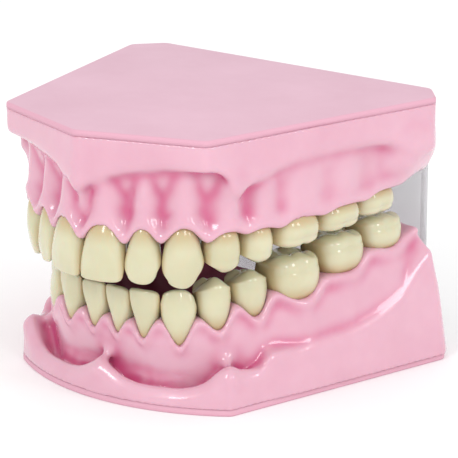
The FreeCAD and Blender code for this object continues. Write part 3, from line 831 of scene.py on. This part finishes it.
def lower_field(g):
    """Lower jaw as a distance field: gum, base with its front trough, ribs, and the screws' pocket."""
    z = g.z
    margin = g.margin((1.1, 1.1, 1.2, 1.6, 1.6, 1.9, 1.9, 2.0))
    margin = margin + np.clip((g.run - g.edges[-1]) * 0.5, 0, 2.6)
    lip, tongue = g.offsets()
    fall = margin[..., None] - z
    bump = g.bump()[..., None]
    lean = g.along((-0.30, -0.30, -0.26, -0.02, 0.26, 0.20, 0.20, 0.36))[..., None]
    groove = g.along((0.2, 0.2, 0.25, 0.45, 0.6, 0.6, 0.5, 0.3))[..., None]
    fade = 0.3 + 0.7 * smooth_step(fall, 0.0, 2.0) * (1 - smooth_step(fall, 2.5, 5.0))
    roll = 0.50 * np.exp(-(((fall - 1.1) / 0.9) ** 2))
    down = np.maximum(fall, 0)
    below_necks = np.maximum(g.along([t.zenith for t in g.teeth])[..., None] - z, 0)
    out = lip[..., None] + 0.1 + lean * below_necks - groove * fade * (1 - bump) + roll
    skin = pocket_wall(g, *LOWER_POCKET)[..., None] + POCKET_SKIN
    skin = skin - 0.5 * np.maximum(z - LOWER_POCKET_Z - 1, 0)
    out = soft_max(out, skin, 0.8)
    inner = tongue[..., None] - 0.20 * down - 0.012 * down**2
    d = g.d[..., None]
    gum = soft_max(soft_max(d - out, inner - d, 0.6), z - margin[..., None], 1.0)
    outline = polygon_distance(g.x, g.y, LOWER_OUTLINE, LOWER_CORNER_ROUND)
    draft = 0.04 + 0.10 * smooth_step(g.y, 8.0, 28.0)
    walls = outline[..., None] + (z - LOWER_SEAM_Z) * draft[..., None]
    gum = soft_max(gum, walls, 0.8)
    block = soft_max(walls, z - lower_block_top(g, outline)[..., None], 1.3)
    tongue_space = soft_max(g.d[..., None] - inner + 0.4, MOUTH_FLOOR_Z - z, 3.0)
    block = soft_max(block, -tongue_space, 1.5)
    solid = soft_min(block, gum, 1.7)
    solid = soft_min(solid, rod(g, (0, -30.4, 6.0), (0, -26.6, 9.6), 0.7), 1.8)
    for sign in (1, -1):
        solid = soft_min(solid, rod(g, (sign * 25.2, -22.0, 7.0), (sign * 20.6, -18.0, 9.6), 0.7), 2.2)
    solid = np.maximum(solid, LOWER_SEAM_Z - z)
    solid = np.maximum(solid, g.y[..., None] - BACK_Y)
    hollow = np.maximum(pocket_plan(g, *LOWER_POCKET)[..., None], z - LOWER_POCKET_Z)
    return np.maximum(solid, -hollow)


def lower_block_top(g, outline):
    """Top of the lower base: a rolled rim round the front trough, then walls that climb to the back."""
    edge = wall_edge(LOWER_WALL_EDGE, g.turn)
    front = 1 - smooth_step(g.turn, 54, 62)
    inset = -outline
    roll = 1.1 * smooth_step(inset, 0.2, 1.6)
    trough = 2.5 * smooth_step(inset, 2.0, 4.4)
    rim = np.maximum(edge + front * (roll - trough), TROUGH_FLOOR_Z)
    inside = smooth_step(-g.d, 1.5, 4.0)
    return rim + (np.maximum(rim, MOUTH_FLOOR_Z + 1.0) - rim) * inside


def rod(g, start, end, radius):
    """Distance to a round-ended rod."""
    a, b = np.array(start, float), np.array(end, float)
    edge = b - a
    rx, ry, rz = g.x[..., None] - a[0], g.y[..., None] - a[1], g.z - a[2]
    t = np.clip((rx * edge[0] + ry * edge[1] + rz * edge[2]) / (edge @ edge), 0, 1)
    return np.sqrt((rx - t * edge[0]) ** 2 + (ry - t * edge[1]) ** 2 + (rz - t * edge[2]) ** 2) - radius


def pocket_wall(g, out_front, out_back, end_y):
    """How far out of the contact line the screw pocket's wall is."""
    front_y = g.arch.y.min()
    share = np.clip((g.y - front_y) / (end_y - front_y), 0, 1)
    return out_front + (out_back - out_front) * share**0.6


def pocket_plan(g, out_front, out_back, end_y):
    """Plan of the hollow over the tooth screws, negative inside."""
    return np.maximum(g.d - pocket_wall(g, out_front, out_back, end_y), g.y - end_y)


def cut_sockets(g, field):
    """Takes each crown's foot and its peg out of the gum."""
    side = g.arch.side
    for tooth in g.teeth:
        for sign in (1, -1):
            near = (np.abs(g.s - sign * tooth.s) < tooth.width * 0.6) & (g.d < 8) & (g.d > -14)
            ix, iy = np.nonzero(near)
            s, d = (g.s[ix, iy] - sign * tooth.s)[:, None], g.d[ix, iy][:, None]
            zs = g.zs[None, :]
            half, lip, tongue = tooth.outline(tooth.share(zs))
            crown = egg(s, d - (lip + tongue) / 2, half, (lip - tongue) / 2, 2.3)
            crown = np.maximum(crown, side * (tooth.height(SOCKET_FOOT) - zs))
            wide, deep = PEG_SHARE[0] * tooth.width, PEG_SHARE[1] * tooth.depth
            peg = egg(s, d + tooth.peg_inset, wide, deep, 2.0)
            peg = np.maximum(peg, np.maximum(side * (tooth.root - zs), side * (zs - tooth.neck)))
            socket = np.minimum(crown, peg) + SOCKET_TUCK
            field[ix, iy] = np.maximum(field[ix, iy], -socket)
    return field


def egg(u, v, half_u, half_v, power):
    """Rough distance to a superellipse with these half sizes, negative inside."""
    size = (np.abs(u / half_u) ** power + np.abs(v / half_v) ** power) ** (1 / power)
    return (size - 1) * np.minimum(half_u, half_v)


def cavity_of(field, origin, points):
    """How hollow the surface is at each point, 0 to 1."""
    reach = 3
    padded = np.pad(field, reach, mode="edge")
    middle = tuple(slice(reach, -reach) for _ in range(3))
    bend = -6 * field
    for axis in range(3):
        for way in (-reach, reach):
            bend = bend + np.roll(padded, way, axis)[middle]
    index = np.clip(((points - origin) / GRID).astype(int), 0, np.array(field.shape) - 1)
    value = bend[tuple(index.T)]
    return np.clip(-value / 0.9, 0, 1)


def relax(points, quads, rounds, weight):
    """Evens out values per point, places or looks, by pulling each towards its neighbours'."""
    pairs = np.concatenate([quads[:, [0, 1]], quads[:, [1, 2]], quads[:, [2, 3]], quads[:, [3, 0]]])
    count = np.bincount(pairs.ravel(), minlength=len(points))[:, None]
    for _ in range(rounds):
        total = np.zeros_like(points)
        for k in range(points.shape[1]):
            total[:, k] += np.bincount(pairs[:, 0], points[pairs[:, 1], k], len(points))
            total[:, k] += np.bincount(pairs[:, 1], points[pairs[:, 0], k], len(points))
        points = points + weight * (total / count - points)
    return points


def jaw_piece(jaw, arch, teeth, papillae, make_field, body):
    """Gum-and-base casting of one jaw, with its sockets open."""
    low, high = box_mm(f"{jaw}_jaw")
    grid = GumGrid(arch, teeth, papillae, low - 1.6, high + np.array((1.6, 1.6, 2.6)))
    field = cut_sockets(grid, make_field(grid))
    points, quads = surface_nets(field, grid.low, GRID)
    # How hollow each point is, smoothed; it drives the gum's painted shade in recesses.
    cavity = relax(cavity_of(field, grid.low, points)[:, None], quads, CAVITY_ROUNDS, 0.5)[:, 0]
    on_seam = (points[:, 2] < LOWER_SEAM_Z + GRID) | (points[:, 2] > UPPER_SEAM_Z - GRID)
    points = relax(points, quads, SURFACE_ROUNDS, np.where(on_seam, 0.0, 0.4)[:, None])
    # Masks of the gum's painted shade: deep rose where it is hollow, dark maroon inside the mouth.
    looks = {"cavity": cavity, "mouth_shade": mouth_side(arch, teeth, points)}
    return make_piece(f"gum_{jaw}_jaw", points, quads.tolist(), "gum_pink", body, [f"{jaw}_jaw"], looks)


def mouth_side(arch, teeth, points):
    """Mask of the painted shade inside the mouth: 1 on the tongue side of the teeth and over the palate, 0 on
    the lip side and on the outer walls.
    """
    s, d = arch.coords(points[:, 0], points[:, 1])
    centre = np.interp(np.abs(s), [t.s for t in teeth], [t.inset for t in teeth])
    inward = smooth_step(-d - centre, 0.5, 3.0)
    between_seams = (points[:, 2] > LOWER_SEAM_Z + 0.5) & (points[:, 2] < UPPER_SEAM_Z - 0.5)
    covered = between_seams & (points[:, 1] < BACK_Y - 1.5)
    return inward * covered


# ---- plates ----
def rounded_outline(points, radius, steps=6):
    """Convex outline with arcs at its corners."""
    points = np.array(points, float)
    inner = inset_polygon(points, radius)
    result = []
    count = len(points)
    for i in range(count):
        before, after = points[i] - points[i - 1], points[(i + 1) % count] - points[i]
        start = math.atan2(-before[0], before[1])
        end = math.atan2(-after[0], after[1])
        sweep = (end - start) % (2 * math.pi)
        for k in range(steps + 1):
            angle = start + sweep * k / steps
            result.append(inner[i] + radius * np.array([math.cos(angle), math.sin(angle)]))
    return np.array(result)


def plate_piece(name, outline, radius, z_seam, z_face, round_edge, node, body):
    """Cover plate with a rounded outer edge; z_face is its outer face."""
    way = 1 if z_face > z_seam else -1
    rings = [(0.0, z_seam)]
    for k in range(5):
        t = k / 4 * math.pi / 2
        rings.append((round_edge * (1 - math.cos(t)), z_face - way * round_edge * (1 - math.sin(t))))
    loops = []
    for inset, z in rings:
        ring = rounded_outline(inset_polygon(np.array(outline), inset), radius - inset)
        loops.append(np.column_stack([ring, np.full(len(ring), z)]))
    count = len(loops[0])
    faces = ring_faces(len(loops), count)
    faces.append(tuple(range(count)))
    faces.append(tuple(range((len(loops) - 1) * count, len(loops) * count)))
    # rim: 1 round the plate's side, which takes the walls' pink, and 0 on the flat face, which keeps the
    # paler mauve of the painted reflection.
    rim = np.repeat([1.0] * (len(loops) - 2) + [0.6, 0.0], count)
    return make_piece(name, np.concatenate(loops), faces, "cover_mauve", body, [node], {"rim": rim})


def grid_rim(wide, tall):
    """Numbers of the points round the edge of a grid, in order."""
    rim = list(range(wide))
    rim += [r * wide + wide - 1 for r in range(1, tall)]
    rim += [(tall - 1) * wide + c for c in range(wide - 2, -1, -1)]
    rim += [r * wide for r in range(tall - 2, 0, -1)]
    return rim


def sheet_piece(name, low_z, high_z, nodes, joined_row):
    """One run of the clear sheet, a flat two-layered strip from low_z to high_z; open where the runs join."""
    low, high = box_mm("hinge_sheet_middle")
    xs = np.linspace(low[0], high[0], 34)
    zs = np.linspace(low_z, high_z, int((high_z - low_z) / SHEET_STEP) + 2)
    ys = (low[1], high[1])
    points = [(x, y, z) for y in ys for z in zs for x in xs]
    wide, tall = len(xs), len(zs)
    faces = []
    for layer in range(2):
        base = layer * wide * tall
        for r in range(tall - 1):
            for c in range(wide - 1):
                i = base + r * wide + c
                faces.append((i, i + 1, i + 1 + wide, i + wide))
    far = wide * tall
    rim = grid_rim(wide, tall)
    for a, b in zip(rim, rim[1:] + rim[:1]):
        if not a // wide == b // wide == joined_row % tall:
            faces.append((a, b, b + far, a + far))
    piece = make_piece(name, points, faces, "clear_sheet", None, nodes)
    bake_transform(piece)
    return piece


def hinge_sheet():
    """The clear sheet as two runs that meet halfway between the bend lines."""
    strip_low, strip_high = (box_mm("hinge_sheet_middle")[k][2] for k in (0, 1))
    middle = (strip_low + strip_high) / 2
    bottom = box_mm("hinge_sheet_lower")[0][2]
    top = box_mm("hinge_sheet_upper")[1][2]
    sheet_piece("sheet_low", bottom, middle,
                ["hinge_sheet_lower", "hinge_sheet_middle"], -1)
    sheet_piece("sheet_high", middle, top, ["hinge_sheet_upper"], 0)


def dress_fixings():
    """The CAD's own screws and washers stay in sight, in steel."""
    for node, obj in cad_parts.items():
        if "screws" in node or "washers" in node:
            obj.data.materials.clear()
            obj.data.materials.append(MATERIALS["screw_steel"])


# ---- the set ----
LIGHT_TARGET = Vector((0, 0, 0.03))
# Soft boxes: place, size and power
LIGHTS = {
    "key_left": ((0.06, -0.72, 0.52), (0.16, 0.28), 1.5),
    "key_right": ((0.72, -0.34, 0.50), (0.14, 0.26), 0.9),
    "side_right": ((0.80, 0.12, 0.42), (0.14, 0.30), 0.9),
}
# Camera: degrees round from the front to the model's left, degrees up, metres away, point looked at, lens
CAMERA = (38.1, 16.7, 0.4956, (0.0027, 0.00616, 0.02538), 196.3)


def add_light(name, place, size, power):
    """Soft box aimed at the model."""
    light = bpy.data.lights.new(name, "AREA")
    light.shape = "RECTANGLE"
    light.size, light.size_y = size
    light.energy = power
    obj = bpy.data.objects.new(name, light)
    obj.location = place
    obj.rotation_euler = (LIGHT_TARGET - Vector(place)).to_track_quat("-Z", "Y").to_euler()
    bpy.context.scene.collection.objects.link(obj)


def add_camera(azimuth, elevation, distance, target, focal):
    az, el = math.radians(azimuth), math.radians(elevation)
    way = Vector((math.sin(az) * math.cos(el), -math.cos(az) * math.cos(el), math.sin(el)))
    camera = bpy.data.cameras.new("camera")
    camera.lens = focal
    camera.sensor_width = 36
    camera.clip_start = 0.01
    obj = bpy.data.objects.new("camera", camera)
    obj.location = Vector(target) + way * distance
    obj.rotation_euler = (-way).to_track_quat("-Z", "Y").to_euler()
    bpy.context.scene.collection.objects.link(obj)
    bpy.context.scene.camera = obj


def add_floor():
    size = 3.0
    mesh = bpy.data.meshes.new("floor")
    corners = [(-size, -size, 0), (size, -size, 0), (size, size, 0), (-size, size, 0)]
    mesh.from_pydata(corners, [], [(0, 1, 2, 3)])
    floor = bpy.data.objects.new("floor", mesh)
    bpy.context.scene.collection.objects.link(floor)
    n = Nodes("floor_white")
    white = n.ramp(n.noise(3, 2.0), 0.3, 0.7, (0.94, 0.94, 0.94), (0.97, 0.97, 0.97))
    n.link(white, n.shader.inputs["Base Color"])
    n.set(Roughness=0.9)
    mesh.materials.append(n.material)


def add_world():
    world = bpy.data.worlds.new("world")
    bpy.context.scene.world = world
    world.use_nodes = True
    background = world.node_tree.nodes["Background"]
    background.inputs["Color"].default_value = (1, 1, 1, 1)
    background.inputs["Strength"].default_value = 1.0
    bpy.context.scene.view_settings.view_transform = "Standard"


def main():
    upper_teeth = make_teeth("upper", UPPER, UPPER_TEETH)
    lower_teeth = make_teeth("lower", LOWER, LOWER_TEETH)
    for tooth in upper_teeth + lower_teeth:
        for side_name, sign in SIDES:
            tooth_piece(tooth, side_name, sign)
    jaw_piece("upper", UPPER, upper_teeth, UPPER_PAPILLAE, upper_field, UPPER_BODY)
    jaw_piece("lower", LOWER, lower_teeth, LOWER_PAPILLAE, lower_field, LOWER_BODY)
    plate_piece("cover_upper", UPPER_OUTLINE, UPPER_CORNER_ROUND, UPPER_SEAM_Z, TOP_Z, 0.5,
                "upper_cover_plate", UPPER_BODY)
    plate_piece("cover_lower", LOWER_OUTLINE, LOWER_CORNER_ROUND, LOWER_SEAM_Z, 0.0, 0.3,
                "lower_cover_plate", LOWER_BODY)
    hinge_sheet()
    dress_fixings()
    add_floor()
    add_world()
    for name, values in LIGHTS.items():
        add_light(name, *values)
    add_camera(*CAMERA)


main()
